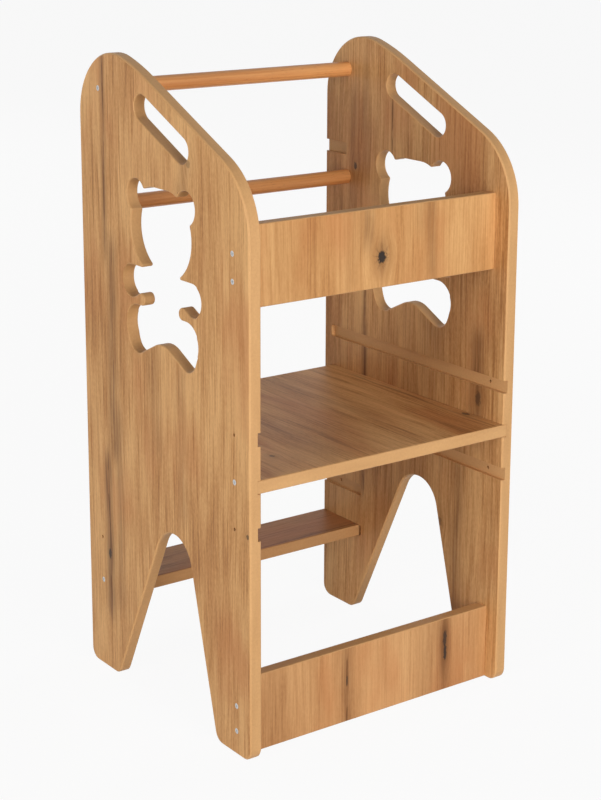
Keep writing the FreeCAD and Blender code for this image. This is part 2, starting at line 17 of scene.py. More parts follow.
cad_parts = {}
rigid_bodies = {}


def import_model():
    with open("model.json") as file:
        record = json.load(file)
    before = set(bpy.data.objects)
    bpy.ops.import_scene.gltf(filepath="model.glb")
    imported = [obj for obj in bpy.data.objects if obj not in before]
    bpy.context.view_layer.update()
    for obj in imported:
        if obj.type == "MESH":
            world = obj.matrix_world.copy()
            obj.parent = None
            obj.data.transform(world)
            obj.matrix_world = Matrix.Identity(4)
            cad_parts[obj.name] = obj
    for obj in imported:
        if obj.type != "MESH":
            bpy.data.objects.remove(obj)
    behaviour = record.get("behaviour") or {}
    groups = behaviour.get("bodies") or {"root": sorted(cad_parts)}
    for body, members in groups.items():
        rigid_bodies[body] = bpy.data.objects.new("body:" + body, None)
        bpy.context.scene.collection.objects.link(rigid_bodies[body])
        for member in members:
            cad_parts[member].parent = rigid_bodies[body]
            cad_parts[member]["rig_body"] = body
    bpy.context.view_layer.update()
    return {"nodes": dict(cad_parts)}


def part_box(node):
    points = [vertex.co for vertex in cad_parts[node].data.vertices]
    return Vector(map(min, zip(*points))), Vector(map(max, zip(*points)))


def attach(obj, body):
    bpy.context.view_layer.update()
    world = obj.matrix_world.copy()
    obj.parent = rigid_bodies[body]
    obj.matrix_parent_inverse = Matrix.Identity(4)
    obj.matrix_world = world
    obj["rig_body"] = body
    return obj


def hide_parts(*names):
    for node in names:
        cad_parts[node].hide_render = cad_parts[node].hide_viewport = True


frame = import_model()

log = logging.getLogger("stool")

SAME_PLACE = 0.00001
WHITE = (1.0, 1.0, 1.0, 1.0)
# How deep a face's look goes before the plain edge, and where the edge has taken over.
FACE_DEPTH, FACE_END = 0.00012, 0.00030
# How deep the mark of one face goes, and where it is gone.
MARK_DEPTH, MARK_END = 0.003, 0.006
# A streak fades over this much past its ends and inside them.
STREAK_PAST, STREAK_INSIDE = 0.02, 0.03


class Axis(Enum):
    """An axis of the frame, by its place in a coordinate."""

    X = 0
    Y = 1
    Z = 2


def srgb(red: float, green: float, blue: float) -> tuple[float, float, float, float]:
    """Linear colour of an 0-255 screen colour.

    Args:
        red: red, 0-255.
        green: green, 0-255.
        blue: blue, 0-255.

    Returns:
        The linear colour with an alpha of 1.
    """
    def linear(value: float) -> float:
        """One channel made linear."""
        value /= 255.0
        return value / 12.92 if value <= 0.04045 else ((value + 0.055) / 1.055) ** 2.4

    return (linear(red), linear(green), linear(blue), 1.0)


# ------------------------------------------------------------------ shader expressions
Number = Union[float, "Term"]


class Term:
    """A number that varies over a surface: operators on it add Math nodes."""

    def __init__(self, shader: "Shader", socket: bpy.types.NodeSocket) -> None:
        """Wraps one output socket of a shader's tree."""
        self.shader = shader
        self.socket = socket

    def _math(self, operation: str, *values: Number, clamp: bool = False) -> "Term":
        """Adds a Math node.

        Args:
            operation: the node's operation.
            values: its inputs, in order.
            clamp: whether the result stays between 0 and 1.

        Returns:
            The node's result.
        """
        made = self.shader.node("ShaderNodeMath",
                                {"operation": operation, "use_clamp": clamp},
                                dict(enumerate(values)))
        return Term(self.shader, made.outputs[0])

    def __add__(self, other: Number) -> "Term":
        """Sum."""
        return self._math("ADD", self, other)

    def __sub__(self, other: Number) -> "Term":
        """Difference."""
        return self._math("SUBTRACT", self, other)

    def __mul__(self, other: Number) -> "Term":
        """Product."""
        return self._math("MULTIPLY", self, other)

    def __truediv__(self, other: Number) -> "Term":
        """Quotient."""
        return self._math("DIVIDE", self, other)

    def __abs__(self) -> "Term":
        """Size without its sign."""
        return self._math("ABSOLUTE", self)

    def bell(self, width: float) -> "Term":
        """Bell curve of a distance.

        Args:
            width: distance at which the curve has fallen to about a third.

        Returns:
            1 at no distance, 0 far away.
        """
        scaled = self / width
        return self._math("EXPONENT", scaled * scaled * -1.0)

    def sine(self) -> "Term":
        """Sine, of radians."""
        return self._math("SINE", self)

    def angle(self, across: "Term") -> "Term":
        """Angle of a point, in radians, with the term as its rise."""
        return self._math("ARCTAN2", self, across)

    def most(self, other: Number) -> "Term":
        """The higher of the two."""
        return self._math("MAXIMUM", self, other)

    def clamped(self) -> "Term":
        """The term kept between 0 and 1."""
        return self._math("ADD", self, 0.0, clamp=True)

    def step(self, low: float, high: float) -> "Term":
        """Smooth rise from 0 at low to 1 at high (or the other way, if low > high).

        Args:
            low: value that gives 0.
            high: value that gives 1.

        Returns:
            The eased value.
        """
        made = self.shader.node("ShaderNodeMapRange", {"interpolation_type": "SMOOTHSTEP"},
                                {"Value": self, "From Min": min(low, high),
                                 "From Max": max(low, high),
                                 "To Min": 0.0 if low < high else 1.0,
                                 "To Max": 1.0 if low < high else 0.0})
        return Term(self.shader, made.outputs[0])


class Shader:
    """A material under construction."""

    def __init__(self, name: str) -> None:
        """Starts an empty node tree that reads Object coordinates."""
        self.material = bpy.data.materials.new(name)
        self.material.use_nodes = True
        self.tree = self.material.node_tree
        self.tree.nodes.clear()
        place = self.node("ShaderNodeTexCoord").outputs["Object"]
        parts = self.node("ShaderNodeSeparateXYZ", inputs={0: place})
        self.axes = [Term(self, out) for out in parts.outputs]

    def node(self, kind: str, settings: Optional[dict] = None,
             inputs: Optional[dict] = None) -> bpy.types.Node:
        """Adds any node.

        Args:
            kind: the node's type.
            settings: its properties, set first.
            inputs: values or links by socket name or number.

        Returns:
            The node.
        """
        made = self.tree.nodes.new(kind)
        for key, value in (settings or {}).items():
            setattr(made, key, value)
        for key, value in (inputs or {}).items():
            self.feed(made.inputs[key], value)
        return made

    def feed(self, socket: bpy.types.NodeSocket, value: object) -> None:
        """Links or sets one input.

        Args:
            socket: the input.
            value: a Term, an output socket, or a plain value.
        """
        if isinstance(value, Term):
            value = value.socket
        if isinstance(value, bpy.types.NodeSocket):
            self.tree.links.new(value, socket)
        else:
            socket.default_value = value

    def noise(self, across: Number, along: Number, depth: Number, detail: float,
              roughness: float = 0.5) -> Term:
        """Noise about 0, at its own scale along each of three coordinates.

        Args:
            across: first coordinate, in waves rather than metres.
            along: second coordinate.
            depth: third coordinate.
            detail: octaves.
            roughness: share of the finer octaves.

        Returns:
            A term that runs from about -0.5 to 0.5.
        """
        spot = self.node("ShaderNodeCombineXYZ", inputs={0: across, 1: along, 2: depth})
        made = self.node("ShaderNodeTexNoise", {"noise_dimensions": "3D"},
                         {"Vector": spot.outputs[0], "Scale": 1.0, "Detail": detail,
                          "Roughness": roughness})
        return Term(self, made.outputs[0]) - 0.5

    def mix(self, factor: Number, first: object, second: object) -> bpy.types.NodeSocket:
        """Mixes two colours, through the colour sockets of a Mix node.

        Args:
            factor: 0 for the first, 1 for the second.
            first: colour or socket.
            second: colour or socket.

        Returns:
            The colour's socket.
        """
        made = self.node("ShaderNodeMix", {"data_type": "RGBA", "clamp_factor": True},
                         {0: factor, 6: first, 7: second})
        return made.outputs[2]

    def finish(self, colour: object, roughness: object, relief: Number,
               relief_height: float, **constants: float) -> bpy.types.Material:
        """Ends the tree in a Principled BSDF.

        Args:
            colour: base colour.
            roughness: roughness.
            relief: height of the fine relief.
            relief_height: metres that a height of 1 stands for.
            constants: values set on the shader's own sockets, with _ for spaces.

        Returns:
            The material.
        """
        surface = self.node("ShaderNodeBsdfPrincipled",
                            inputs={"Base Color": colour, "Roughness": roughness})
        for key, value in constants.items():
            surface.inputs[key.replace("_", " ")].default_value = value
        bump = self.node("ShaderNodeBump", inputs={"Height": relief, "Strength": 1.0,
                                                   "Distance": relief_height})
        self.feed(surface.inputs["Normal"], bump.outputs["Normal"])
        out = self.node("ShaderNodeOutputMaterial")
        self.feed(out.inputs["Surface"], surface.outputs[0])
        return self.material


# --------------------------------------------------------------------------- finishes
@dataclass(frozen=True)
class Streak:
    """A brown band along the grain, darkest in its heart; a very wide, faint one over a whole
    face is painted shade.

    Attributes:
        across: its middle, across the grain.
        start: where it starts, along the grain.
        end: where it ends.
        width: distance from its middle at which it has faded to about a third.
        depth: how dark it is.
        sway: how far it wanders from side to side.
        face: place of the one face that shows it, or 0 for both.
        heart: how dark the thin crack in its middle is.
    """

    across: float
    start: float
    end: float
    width: float
    depth: float = 0.5
    sway: float = 0.004
    face: float = 0.0
    heart: float = 0.0


@dataclass(frozen=True)
class Knot:
    """A ragged dark knot that the grain runs round.

    Attributes:
        across: its middle, across the grain.
        along: its middle, along the grain.
        radius: half of its size across the grain.
        length: half of its size along the grain.
        depth: how dark it is.
        reach: how far it bends the grain, in its own sizes.
        face: place of the one face that shows it, or 0 for both.
        halo: how dark the smear round it is.
        rays: how many cracks run out of it.
    """

    across: float
    along: float
    radius: float
    length: float
    depth: float = 1.0
    reach: float = 3.2
    face: float = 0.0
    halo: float = 0.5
    rays: float = 0.0


@dataclass(frozen=True)
class Layer:
    """One layer of grain: its waves per metre, its own place in the noise, its octaves."""

    across: float
    along: float
    start: float
    detail: float = 2.0
    roughness: float = 0.5


@dataclass(frozen=True)
class OakLaminate:
    """Oak-look laminate on a board's two faces, with plain tan edges.

    faces holds the two places of the faces along the axis of the board's thickness.
    """

    name: str
    across: Axis
    along: Axis
    thick: Axis
    faces: tuple[float, float]
    seed: float
    streaks: tuple[Streak, ...] = ()
    knots: tuple[Knot, ...] = ()
    light: tuple = srgb(226, 176, 117)
    middle: tuple = srgb(184, 129, 75)
    dark: tuple = srgb(112, 70, 35)
    red: tuple = srgb(184, 112, 62)
    knot: tuple = srgb(44, 32, 24)
    edge: tuple = srgb(214, 166, 112)
    edge_dark: tuple = srgb(188, 140, 90)
    contrast: float = 1.0
    wide: Layer = Layer(12.0, 2.6, 3.0, 3.0)
    band: Layer = Layer(55.0, 5.0, 9.0, 3.0)
    fine: Layer = Layer(400.0, 13.0, 15.0, 3.0, 0.65)
    lines: Layer = Layer(190.0, 4.5, 27.0)
    ticks: Layer = Layer(420.0, 150.0, 33.0)
    pores: Layer = Layer(1500.0, 55.0, 21.0)
    warm: Layer = Layer(11.0, 4.5, 41.0, 3.0)

    def on_face(self, shader: Shader, face: float) -> Number:
        """1 on the face a mark belongs to, or everywhere if it names none.

        Args:
            shader: the tree.
            face: place of the face along the thickness, or 0 for both.

        Returns:
            The mask.
        """
        if face == 0.0:
            return 1.0
        return abs(shader.axes[self.thick.value] - face).step(MARK_END, MARK_DEPTH)

    def streak(self, shader: Shader, mark: Streak, line: Term) -> Term:
        """Strength of one brown band.

        Args:
            shader: the tree.
            mark: the band.
            line: the grain's own coordinate.

        Returns:
            The strength, about 0 to 1.
        """
        across = shader.axes[self.across.value]
        along = shader.axes[self.along.value]
        sway = shader.noise(along * 6.0, self.seed + mark.across * 40.0, 0.5, 3.0)
        off = across - mark.across + sway * (2.0 * mark.sway)
        grainy = shader.noise(line * 230.0, along * 6.0, self.seed + 2.0, 3.0) * 1.5 + 0.75
        patchy = shader.noise(line * 30.0, along * 9.0, self.seed + 4.0, 2.0) * 1.4 + 0.85
        strength = off.bell(mark.width) * grainy * patchy
        if mark.heart:
            broken = shader.noise(along * 26.0, self.seed, mark.across * 9.0, 2.0)
            crack = (off + broken * 0.0025).bell(0.0011) * broken.step(-0.12, 0.08)
            strength = strength + crack * mark.heart
        ends = (along.step(mark.start - STREAK_PAST, mark.start + STREAK_INSIDE)
                * along.step(mark.end + STREAK_PAST, mark.end - STREAK_INSIDE))
        return strength * ends * self.on_face(shader, mark.face) * mark.depth

    def knotted(self, shader: Shader, mark: Knot, line: Term,
                slow: Term) -> tuple[Term, Term, Term]:
        """One knot and the grain round it.

        Args:
            shader: the tree.
            mark: the knot.
            line: the grain's own coordinate without this knot.
            slow: the slow wander of the grain.

        Returns:
            The grain's coordinate bent round the knot, the knot's strength and its halo's.
        """
        across = shader.axes[self.across.value]
        along = shader.axes[self.along.value]
        side = across - mark.across
        rise = along - mark.along
        where = self.on_face(shader, mark.face)
        pull = side.bell(mark.radius * mark.reach) * rise.bell(mark.length * mark.reach) * where
        line = line - side * pull * 0.80
        wobble = shader.noise(across * 330.0, along * 190.0, self.seed, 3.0, 0.6)
        bent = side + wobble * (mark.radius * 1.5)
        lift = rise + wobble * (mark.length * 0.9)
        span = ((bent / mark.radius) * (bent / mark.radius)
                + (lift / mark.length) * (lift / mark.length))
        core = span.step(1.25, 0.45)
        if mark.rays:
            cracks = (lift.angle(bent) * mark.rays + wobble * 11.0).sine()
            core = core + cracks.step(0.35, 0.95) * span.step(6.5, 0.5) * 0.32
        smear = (side + slow * 0.01).bell(mark.radius * 2.3) * rise.bell(mark.length * 3.2)
        ragged = shader.noise(line * 170.0, along * 12.0, self.seed + 8.0, 3.0) * 1.3 + 0.9
        halo = smear * ragged * where * (mark.halo * mark.depth)
        return line, core * where * mark.depth, halo

    def build(self) -> bpy.types.Material:
        """Builds the finish.

        Returns:
            The material.
        """
        shader = Shader(self.name)
        across = shader.axes[self.across.value]
        along = shader.axes[self.along.value]
        here = shader.axes[self.thick.value]
        depth = here * 31.0 + self.seed
        slow = shader.noise(across * 4.5, along * 1.5, depth, 2.0)
        line = across + slow * 0.030
        cores: Number = 0.0
        halos: Number = 0.0
        for mark in self.knots:
            line, core, halo = self.knotted(shader, mark, line, slow)
            cores = core + cores
            halos = halo + halos

        def layer(kind: Layer) -> Term:
            """Noise of one layer, along the bent grain."""
            return shader.noise(line * kind.across, along * kind.along, depth + kind.start,
                                kind.detail, kind.roughness)

        wide = layer(self.wide)
        band = layer(self.band)
        fine = layer(self.fine)
        lines = layer(self.lines).step(0.02, 0.16)
        ticks = layer(self.ticks)
        pores = layer(self.pores).step(0.14, 0.30)
        warm = layer(self.warm).step(-0.03, 0.2)
        shade = (wide * 1.35 + (band + fine * 1.25 + ticks * 0.5 + lines * 0.26) * self.contrast
                 + pores * 0.10 + 0.38)
        colour = shader.mix(shade.step(-0.05, 0.85), self.light, self.middle)
        colour = shader.mix(warm * 0.42, colour, self.red)
        colour = shader.mix((shade - 0.62).clamped() * 1.2, colour, self.dark)
        # Bands along the grain pull the colour towards the dark one; a very wide band paints
        # shade over a whole face.
        if self.streaks:
            marks: Number = 0.0
            for streak in self.streaks:
                marks = self.streak(shader, streak, line) + marks
            colour = shader.mix(marks, colour, self.dark)
        if self.knots:
            colour = shader.mix(halos, colour, self.dark)
            colour = shader.mix(cores, colour, self.knot)
        low, high = self.faces
        off_face = abs(abs(here - (low + high) / 2.0) - (high - low) / 2.0)
        face_mask = off_face.step(FACE_END, FACE_DEPTH)
        edge_shade = (shader.noise(across * 300.0, along * 300.0, here * 300.0, 2.0) * 0.6
                      + shader.noise(across * 9.0, along * 9.0, here * 60.0, 2.0) + 0.42)
        edge = shader.mix(edge_shade, self.edge, self.edge_dark)
        colour = shader.mix(face_mask, edge, colour)
        roughness = (fine * 0.22 + pores * 0.10) * face_mask + 0.50
        relief = (fine * -0.5 - pores * 0.6 - lines * 0.3) * face_mask
        return shader.finish(colour, roughness, relief, 0.00010, Specular_IOR_Level=0.25)


@dataclass(frozen=True)
class OiledBeech:
    """Round beech bars: orange brown, with short dark flecks along the bar."""

    name: str = "beech_bar"
    light: tuple = srgb(226, 162, 99)
    middle: tuple = srgb(194, 121, 64)
    fleck: tuple = srgb(128, 74, 40)

    def build(self) -> bpy.types.Material:
        """Builds the finish.

        Returns:
            The material.
        """
        shader = Shader(self.name)
        x, y, z = shader.axes
        wide = shader.noise(x * 2.2, y * 60.0, z * 60.0, 2.0)
        fine = shader.noise(x * 9.0, y * 520.0, z * 520.0, 3.0, 0.6)
        flecks = shader.noise(x * 90.0, y * 1400.0, z * 1400.0, 1.0).step(0.14, 0.26)
        shade = wide * 1.5 + fine * 1.3 + 0.45
        colour = shader.mix(shade.clamped(), self.light, self.middle)
        colour = shader.mix(flecks * 0.45, colour, self.fleck)
        return shader.finish(colour, fine * 0.2 + 0.42, fine * -0.5 - flecks * 0.5, 0.00008,
                             Specular_IOR_Level=0.42)


@dataclass(frozen=True)
class ZincSteel:
    """Zinc-plated screws: bright grey with faint clouding."""

    name: str = "zinc_screw"
    bright: tuple = (0.72, 0.72, 0.71, 1.0)
    dull: tuple = (0.48, 0.48, 0.49, 1.0)

    def build(self) -> bpy.types.Material:
        """Builds the finish.

        Returns:
            The material.
        """
        shader = Shader(self.name)
        x, y, z = shader.axes
        cloud = shader.noise(x * 700.0, y * 700.0, z * 700.0, 3.0)
        brushed = shader.noise(x * 300.0, y * 4000.0, z * 900.0, 2.0)
        colour = shader.mix((cloud * 1.2 + 0.4).clamped(), self.bright, self.dull)
        return shader.finish(colour, cloud * 0.25 + brushed * 0.1 + 0.36, brushed, 0.00002,
                             Metallic=0.75)


# ----------------------------------------------------------------------------- pieces
def make_piece(name: str, mesh: bmesh.types.BMesh, material: bpy.types.Material,
               smooth: bool = False) -> bpy.types.Object:
    """Turns a bmesh into an object at the origin.

    Args:
        name: the piece's name.
        mesh: its mesh, in place; freed here.
        material: its finish.
        smooth: whether its faces shade smoothly.

    Returns:
        The object, linked to the scene.
    """
    bmesh.ops.recalc_face_normals(mesh, faces=mesh.faces)
    data = bpy.data.meshes.new(name)
    mesh.to_mesh(data)
    mesh.free()
    data.materials.append(material)
    for face in data.polygons:
        face.use_smooth = smooth
    piece = bpy.data.objects.new(name, data)
    bpy.context.scene.collection.objects.link(piece)
    return piece


def bake(piece: bpy.types.Object) -> None:
    """Turns a piece's modifiers into its mesh.

    Args:
        piece: the piece.
    """
    graph = bpy.context.evaluated_depsgraph_get()
    baked = bpy.data.meshes.new_from_object(piece.evaluated_get(graph))
    piece.modifiers.clear()
    piece.data = baked


def faces_of(node: str, axis: Axis) -> tuple[float, float]:
    """Places of a board's two faces.

    Args:
        node: the board's CAD node.
        axis: axis of its thickness.

    Returns:
        The lower and the higher place along the axis.
    """
    low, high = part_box(node)
    return low[axis.value], high[axis.value]


def dress(nodes: Iterable[str], material: bpy.types.Material) -> None:
    """Gives CAD nodes a finish through their material slots.

    Args:
        nodes: the nodes' names.
        material: the finish.
    """
    for name in nodes:
        for slot in frame["nodes"][name].material_slots:
            slot.material = material
        log.info("dressed %s", name)


@dataclass
class Screw:
    """A zinc screw with a cross recess in its flush head.

    Attributes:
        node: the CAD pin that it stands for.
        body: the body that it rides on.
        segments: sides of its round.
        rim: bevel of its ends that face outward.
        arm: length of an arm of the cross, from the middle.
        arm_half: half of an arm's width.
        recess: depth of the cross.
        turn: turn of the cross, in radians.
    """

    node: str
    body: str
    segments: int = 40
    rim: float = 0.0004
    arm: float = 0.0022
    arm_half: float = 0.00055
    recess: float = 0.0016
    turn: float = 0.5

    def build(self, material: bpy.types.Material) -> bpy.types.Object:
        """Builds the screw where its CAD pin is.

        Args:
            material: its finish.

        Returns:
            The piece.
        """
        low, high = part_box(self.node)
        centre = (low + high) / 2.0
        side = 1.0 if centre.x > 0 else -1.0
        radius = (high.z - low.z) / 2.0
        turned = (Matrix.Translation((centre.x, centre.y, centre.z))
                  @ Matrix.Rotation(side * math.pi / 2.0, 4, "Y"))
        mesh = bmesh.new()
        bmesh.ops.create_cone(mesh, cap_ends=True, segments=self.segments, radius1=radius,
                              radius2=radius, depth=high.x - low.x)
        rims = [edge for edge in mesh.edges if all(v.co.z > 0 for v in edge.verts)]
        bmesh.ops.bevel(mesh, geom=rims, offset=self.rim, offset_type="OFFSET", segments=2,
                        profile=0.5, affect="EDGES", material=-1)
        bmesh.ops.transform(mesh, matrix=turned, verts=mesh.verts)
        piece = make_piece("screw_" + self.node, mesh, material)
        cutter = self.cutter(turned, (high.x - low.x) / 2.0, material)
        cut = piece.modifiers.new("recess", "BOOLEAN")
        cut.operation = "DIFFERENCE"
        cut.solver = "EXACT"
        cut.object = cutter
        bake(piece)
        bpy.data.objects.remove(cutter)
        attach(piece, self.body)
        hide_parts(self.node)
        log.info("built %s", piece.name)
        return piece

    def cutter(self, turned: Matrix, top: float,
               material: bpy.types.Material) -> bpy.types.Object:
        """Cross that cuts the recess.

        Args:
            turned: place and turn of the screw.
            top: half of the screw's length.
            material: any finish.

        Returns:
            The cutter object.
        """
        mesh = bmesh.new()
        bmesh.ops.create_cube(mesh, size=2.0 * self.arm_half)
        bmesh.ops.scale(mesh, vec=(1.0, 1.0, self.recess / self.arm_half), verts=mesh.verts)
        for face in [face for face in mesh.faces if abs(face.normal.z) < 0.5]:
            outward = face.normal * (self.arm - self.arm_half)
            arm = bmesh.ops.extrude_face_region(mesh, geom=[face])
            moved = [part for part in arm["geom"] if isinstance(part, bmesh.types.BMVert)]
            bmesh.ops.translate(mesh, verts=moved, vec=outward)
            mesh.faces.remove(face)
        bmesh.ops.rotate(mesh, verts=mesh.verts, matrix=Matrix.Rotation(self.turn, 3, "Z"))
        bmesh.ops.translate(mesh, verts=mesh.verts, vec=(0.0, 0.0, top))
        bmesh.ops.transform(mesh, matrix=turned, verts=mesh.verts)
        return make_piece("recess_cutter", mesh, material)


@dataclass
class SideBoards:
    """The two sawn side boards: grain upright, each face with its own marks, and painted shade
    over the whole inner face of the right board.

    Attributes:
        left: CAD node of the left board.
        right: CAD node of the right board.
        rim: size of the rounding round the bear cut-out.
        bear_half: half of a width that holds the whole bear.
        bear_heights: two heights with the whole bear between them.
        merged: points closer than this become one.
        flat: angle up to which two faces become one, in radians.
        smooth: angle up to which an edge shades smoothly.
        sharp: angle from which an edge is a rim.
    """

    left: str = "left_side_panel"
    right: str = "right_side_panel"
    rim: float = 0.0018
    bear_half: float = 0.090
    bear_heights: tuple[float, float] = (0.495, 0.750)
    merged: float = 0.000002
    flat: float = 0.0005
    smooth: float = 0.36
    sharp: float = 1.2

    def on_rim(self, edge: bmesh.types.BMEdge, faces: tuple[float, float]) -> bool:
        """Whether an edge is a sharp rim of the bear cut-out.

        Args:
            edge: an edge of the board's mesh.
            faces: places of the board's two faces.

        Returns:
            True on a rim.
        """
        if len(edge.link_faces) != 2 or edge.calc_face_angle() < self.sharp:
            return False
        low, high = self.bear_heights
        return all(min(abs(v.co.x - face) for face in faces) < SAME_PLACE
                   and abs(v.co.y) < self.bear_half and low < v.co.z < high
                   for v in edge.verts)

    def round_rim(self, node: str, material: bpy.types.Material) -> bpy.types.Object:
        """Rebuilds a board with the rounded rim round its bear.

        Args:
            node: the board's CAD node.
            material: its finish.

        Returns:
            The piece that stands for the node.
        """
        faces = faces_of(node, Axis.X)
        mesh = bmesh.new()
        mesh.from_mesh(frame["nodes"][node].data)
        bmesh.ops.remove_doubles(mesh, verts=mesh.verts, dist=self.merged)
        bmesh.ops.dissolve_limit(mesh, angle_limit=self.flat, verts=mesh.verts,
                                 edges=mesh.edges, delimit={"NORMAL"})
        rim = [edge for edge in mesh.edges if self.on_rim(edge, faces)]
        bmesh.ops.bevel(mesh, geom=rim, offset=self.rim, offset_type="OFFSET", segments=2,
                        profile=0.5, affect="EDGES", material=-1, clamp_overlap=False)
        for edge in mesh.edges:
            edge.smooth = len(edge.link_faces) == 2 and edge.calc_face_angle() < self.smooth
        piece = make_piece(node.replace("panel", "board"), mesh, material, smooth=True)
        weighted = piece.modifiers.new("weighted", "WEIGHTED_NORMAL")
        weighted.keep_sharp = True
        weighted.weight = 100
        bake(piece)
        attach(piece, frame["nodes"][node]["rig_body"])
        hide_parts(node)
        log.info("built %s with %d rim edges", piece.name, len(rim))
        return piece

    def dress(self) -> None:
        """Gives both boards their laminate."""
        faces = faces_of(self.left, Axis.X)
        outer = faces[0]
        left = OakLaminate(
            "oak_left_side", Axis.Y, Axis.Z, Axis.X, faces, 2.0,
            streaks=(
                Streak(0.147, 0.62, 0.93, 0.0070, 0.75, 0.006, outer, 0.5),
                Streak(0.131, 0.33, 0.66, 0.0130, 0.85, 0.008, outer, 0.3),
                Streak(0.120, 0.10, 0.42, 0.0120, 0.55, 0.010, outer),
                Streak(0.149, 0.08, 0.34, 0.0110, 1.15, 0.007, outer, 0.9),
                Streak(0.020, 0.36, 0.55, 0.0200, 0.32, 0.010, outer),
                Streak(-0.045, 0.28, 0.52, 0.0130, 0.35, 0.012, outer),
                Streak(-0.060, 0.70, 0.80, 0.0110, 0.50, 0.004, outer),
            ),
            knots=(
                Knot(0.1497, 0.182, 0.0040, 0.0085, 0.85, 3.0, outer, 0.7),
                Knot(-0.0494, 0.740, 0.0055, 0.0050, 0.55, 3.0, outer, 0.5),
                Knot(-0.0712, 0.783, 0.0050, 0.0055, 0.35, 3.0, outer, 0.5),
                Knot(-0.2045, 0.316, 0.0030, 0.0040, 0.70, 2.0, outer, 0.3),
            ), contrast=0.9)
        faces = faces_of(self.right, Axis.X)
        inner = faces[0]
        right = OakLaminate(
            "oak_right_side_with_painted_shade", Axis.Y, Axis.Z, Axis.X, faces, 7.3,
            streaks=(
                # Painted shade: this very wide, faint band darkens the whole inner face, which
                # lies in the left board's shade.
                Streak(0.0, -0.10, 1.00, 0.6000, 0.24, 0.0, inner),
                Streak(0.1077, 0.20, 0.60, 0.0060, 0.70, 0.002, inner, 1.0),
                Streak(0.0475, 0.735, 0.83, 0.0040, 0.70, 0.002, inner, 1.0),
                Streak(0.1075, 0.70, 0.88, 0.0110, 0.45, 0.004, inner),
                Streak(0.1400, 0.62, 0.88, 0.0120, 0.35, 0.006, inner),
                Streak(-0.1553, 0.34, 0.52, 0.0180, 0.65, 0.006, inner),
                Streak(-0.0600, 0.30, 0.56, 0.0250, 0.30, 0.008, inner),
                Streak(-0.1150, 0.05, 0.35, 0.0120, 0.50, 0.008, inner),
                Streak(-0.0300, 0.60, 0.74, 0.0200, 0.25, 0.008, inner),
            ),
            knots=(
                Knot(0.1353, 0.714, 0.0040, 0.0060, 0.80, 3.0, inner, 0.5),
                Knot(-0.1553, 0.417, 0.0060, 0.0120, 0.55, 2.6, inner, 0.6),
                Knot(-0.0777, 0.2087, 0.0050, 0.0070, 0.40, 2.6, inner, 0.6),
            ))
        self.round_rim(self.left, left.build())
        self.round_rim(self.right, right.build())


@dataclass
class Rails:
    """The two front rails: grain upright, with the knots that face the camera."""

    top: str = "front_top_rail"
    bottom: str = "front_bottom_rail"

    def dress(self) -> None:
        """Gives both rails their laminate."""
        faces = faces_of(self.top, Axis.Y)
        front = faces[0]
        upper = OakLaminate(
            "oak_top_rail", Axis.X, Axis.Z, Axis.Y, faces, 11.0,
            streaks=(
                Streak(-0.014, 0.660, 0.745, 0.0120, 0.70, 0.008, front),
                Streak(-0.045, 0.600, 0.745, 0.0150, 0.24, 0.008, front),
                Streak(0.093, 0.600, 0.745, 0.0090, 0.60, 0.008, front),
                Streak(0.078, 0.670, 0.745, 0.0160, 0.34, 0.008, front),
            ),
            knots=(Knot(0.0083, 0.6523, 0.0068, 0.0088, 1.0, 3.2, front, 0.6, 9.0),),
            contrast=0.5)
        dress([self.top], upper.build())
        faces = faces_of(self.bottom, Axis.Y)
        front = faces[0]
        lower = OakLaminate(
            "oak_bottom_rail", Axis.X, Axis.Z, Axis.Y, faces, 17.0,
            streaks=(
                Streak(0.126, -0.02, 0.14, 0.0120, 0.50, 0.006, front),
                Streak(0.100, -0.02, 0.14, 0.0220, 0.20, 0.006, front),
                Streak(-0.047, -0.02, 0.14, 0.0100, 0.55, 0.003, front, 1.6),
            ),
            knots=(
                Knot(0.1290, 0.080, 0.0034, 0.0130, 0.80, 3.0, front, 0.6),
                Knot(0.1300, 0.058, 0.0030, 0.0130, 0.90, 3.0, front, 0.6),
                Knot(-0.0470, 0.062, 0.0014, 0.0090, 0.80, 3.0, front, 0.4),
            ), light=srgb(218, 168, 114), middle=srgb(178, 126, 78), contrast=0.5)
        dress([self.bottom], lower.build())


@dataclass
class Treads:
    """Standing board, its grain from front to rear, and step, its grain from side to side. The
    step's colours are darker, as painted shade under the standing board.
    """

    platform: str = "platform"
    step: str = "step_board"

    def dress(self) -> None:
        """Gives both boards their laminate."""
        faces = faces_of(self.platform, Axis.Z)
        top = faces[1]
        platform = OakLaminate(
            "oak_platform", Axis.X, Axis.Y, Axis.Z, faces, 23.0,
            streaks=(
                Streak(0.193, -0.21, 0.13, 0.0022, 0.70, 0.010, top),
                Streak(-0.060, -0.20, 0.15, 0.0200, 0.25, 0.012, top),
                Streak(0.080, -0.10, 0.19, 0.0150, 0.22, 0.010, top),
            ),
            knots=(
                Knot(0.200, -0.138, 0.0045, 0.0080, 0.70, 3.0, top),
                Knot(-0.1379, -0.1354, 0.0040, 0.0045, 0.60, 3.0, top),
            ))
        # Painted shade: the step's face and edge colours are darker copies of the laminate's,
        # for the shade under the standing board.
        step = OakLaminate(
            "oak_step_with_painted_shade", Axis.Y, Axis.X, Axis.Z, faces_of(self.step, Axis.Z), 29.0,
            light=srgb(176, 126, 76), middle=srgb(132, 88, 48), dark=srgb(86, 54, 29),
            edge=srgb(188, 142, 94), edge_dark=srgb(164, 118, 72))
        dress([self.platform], platform.build())
        dress([self.step], step.build())


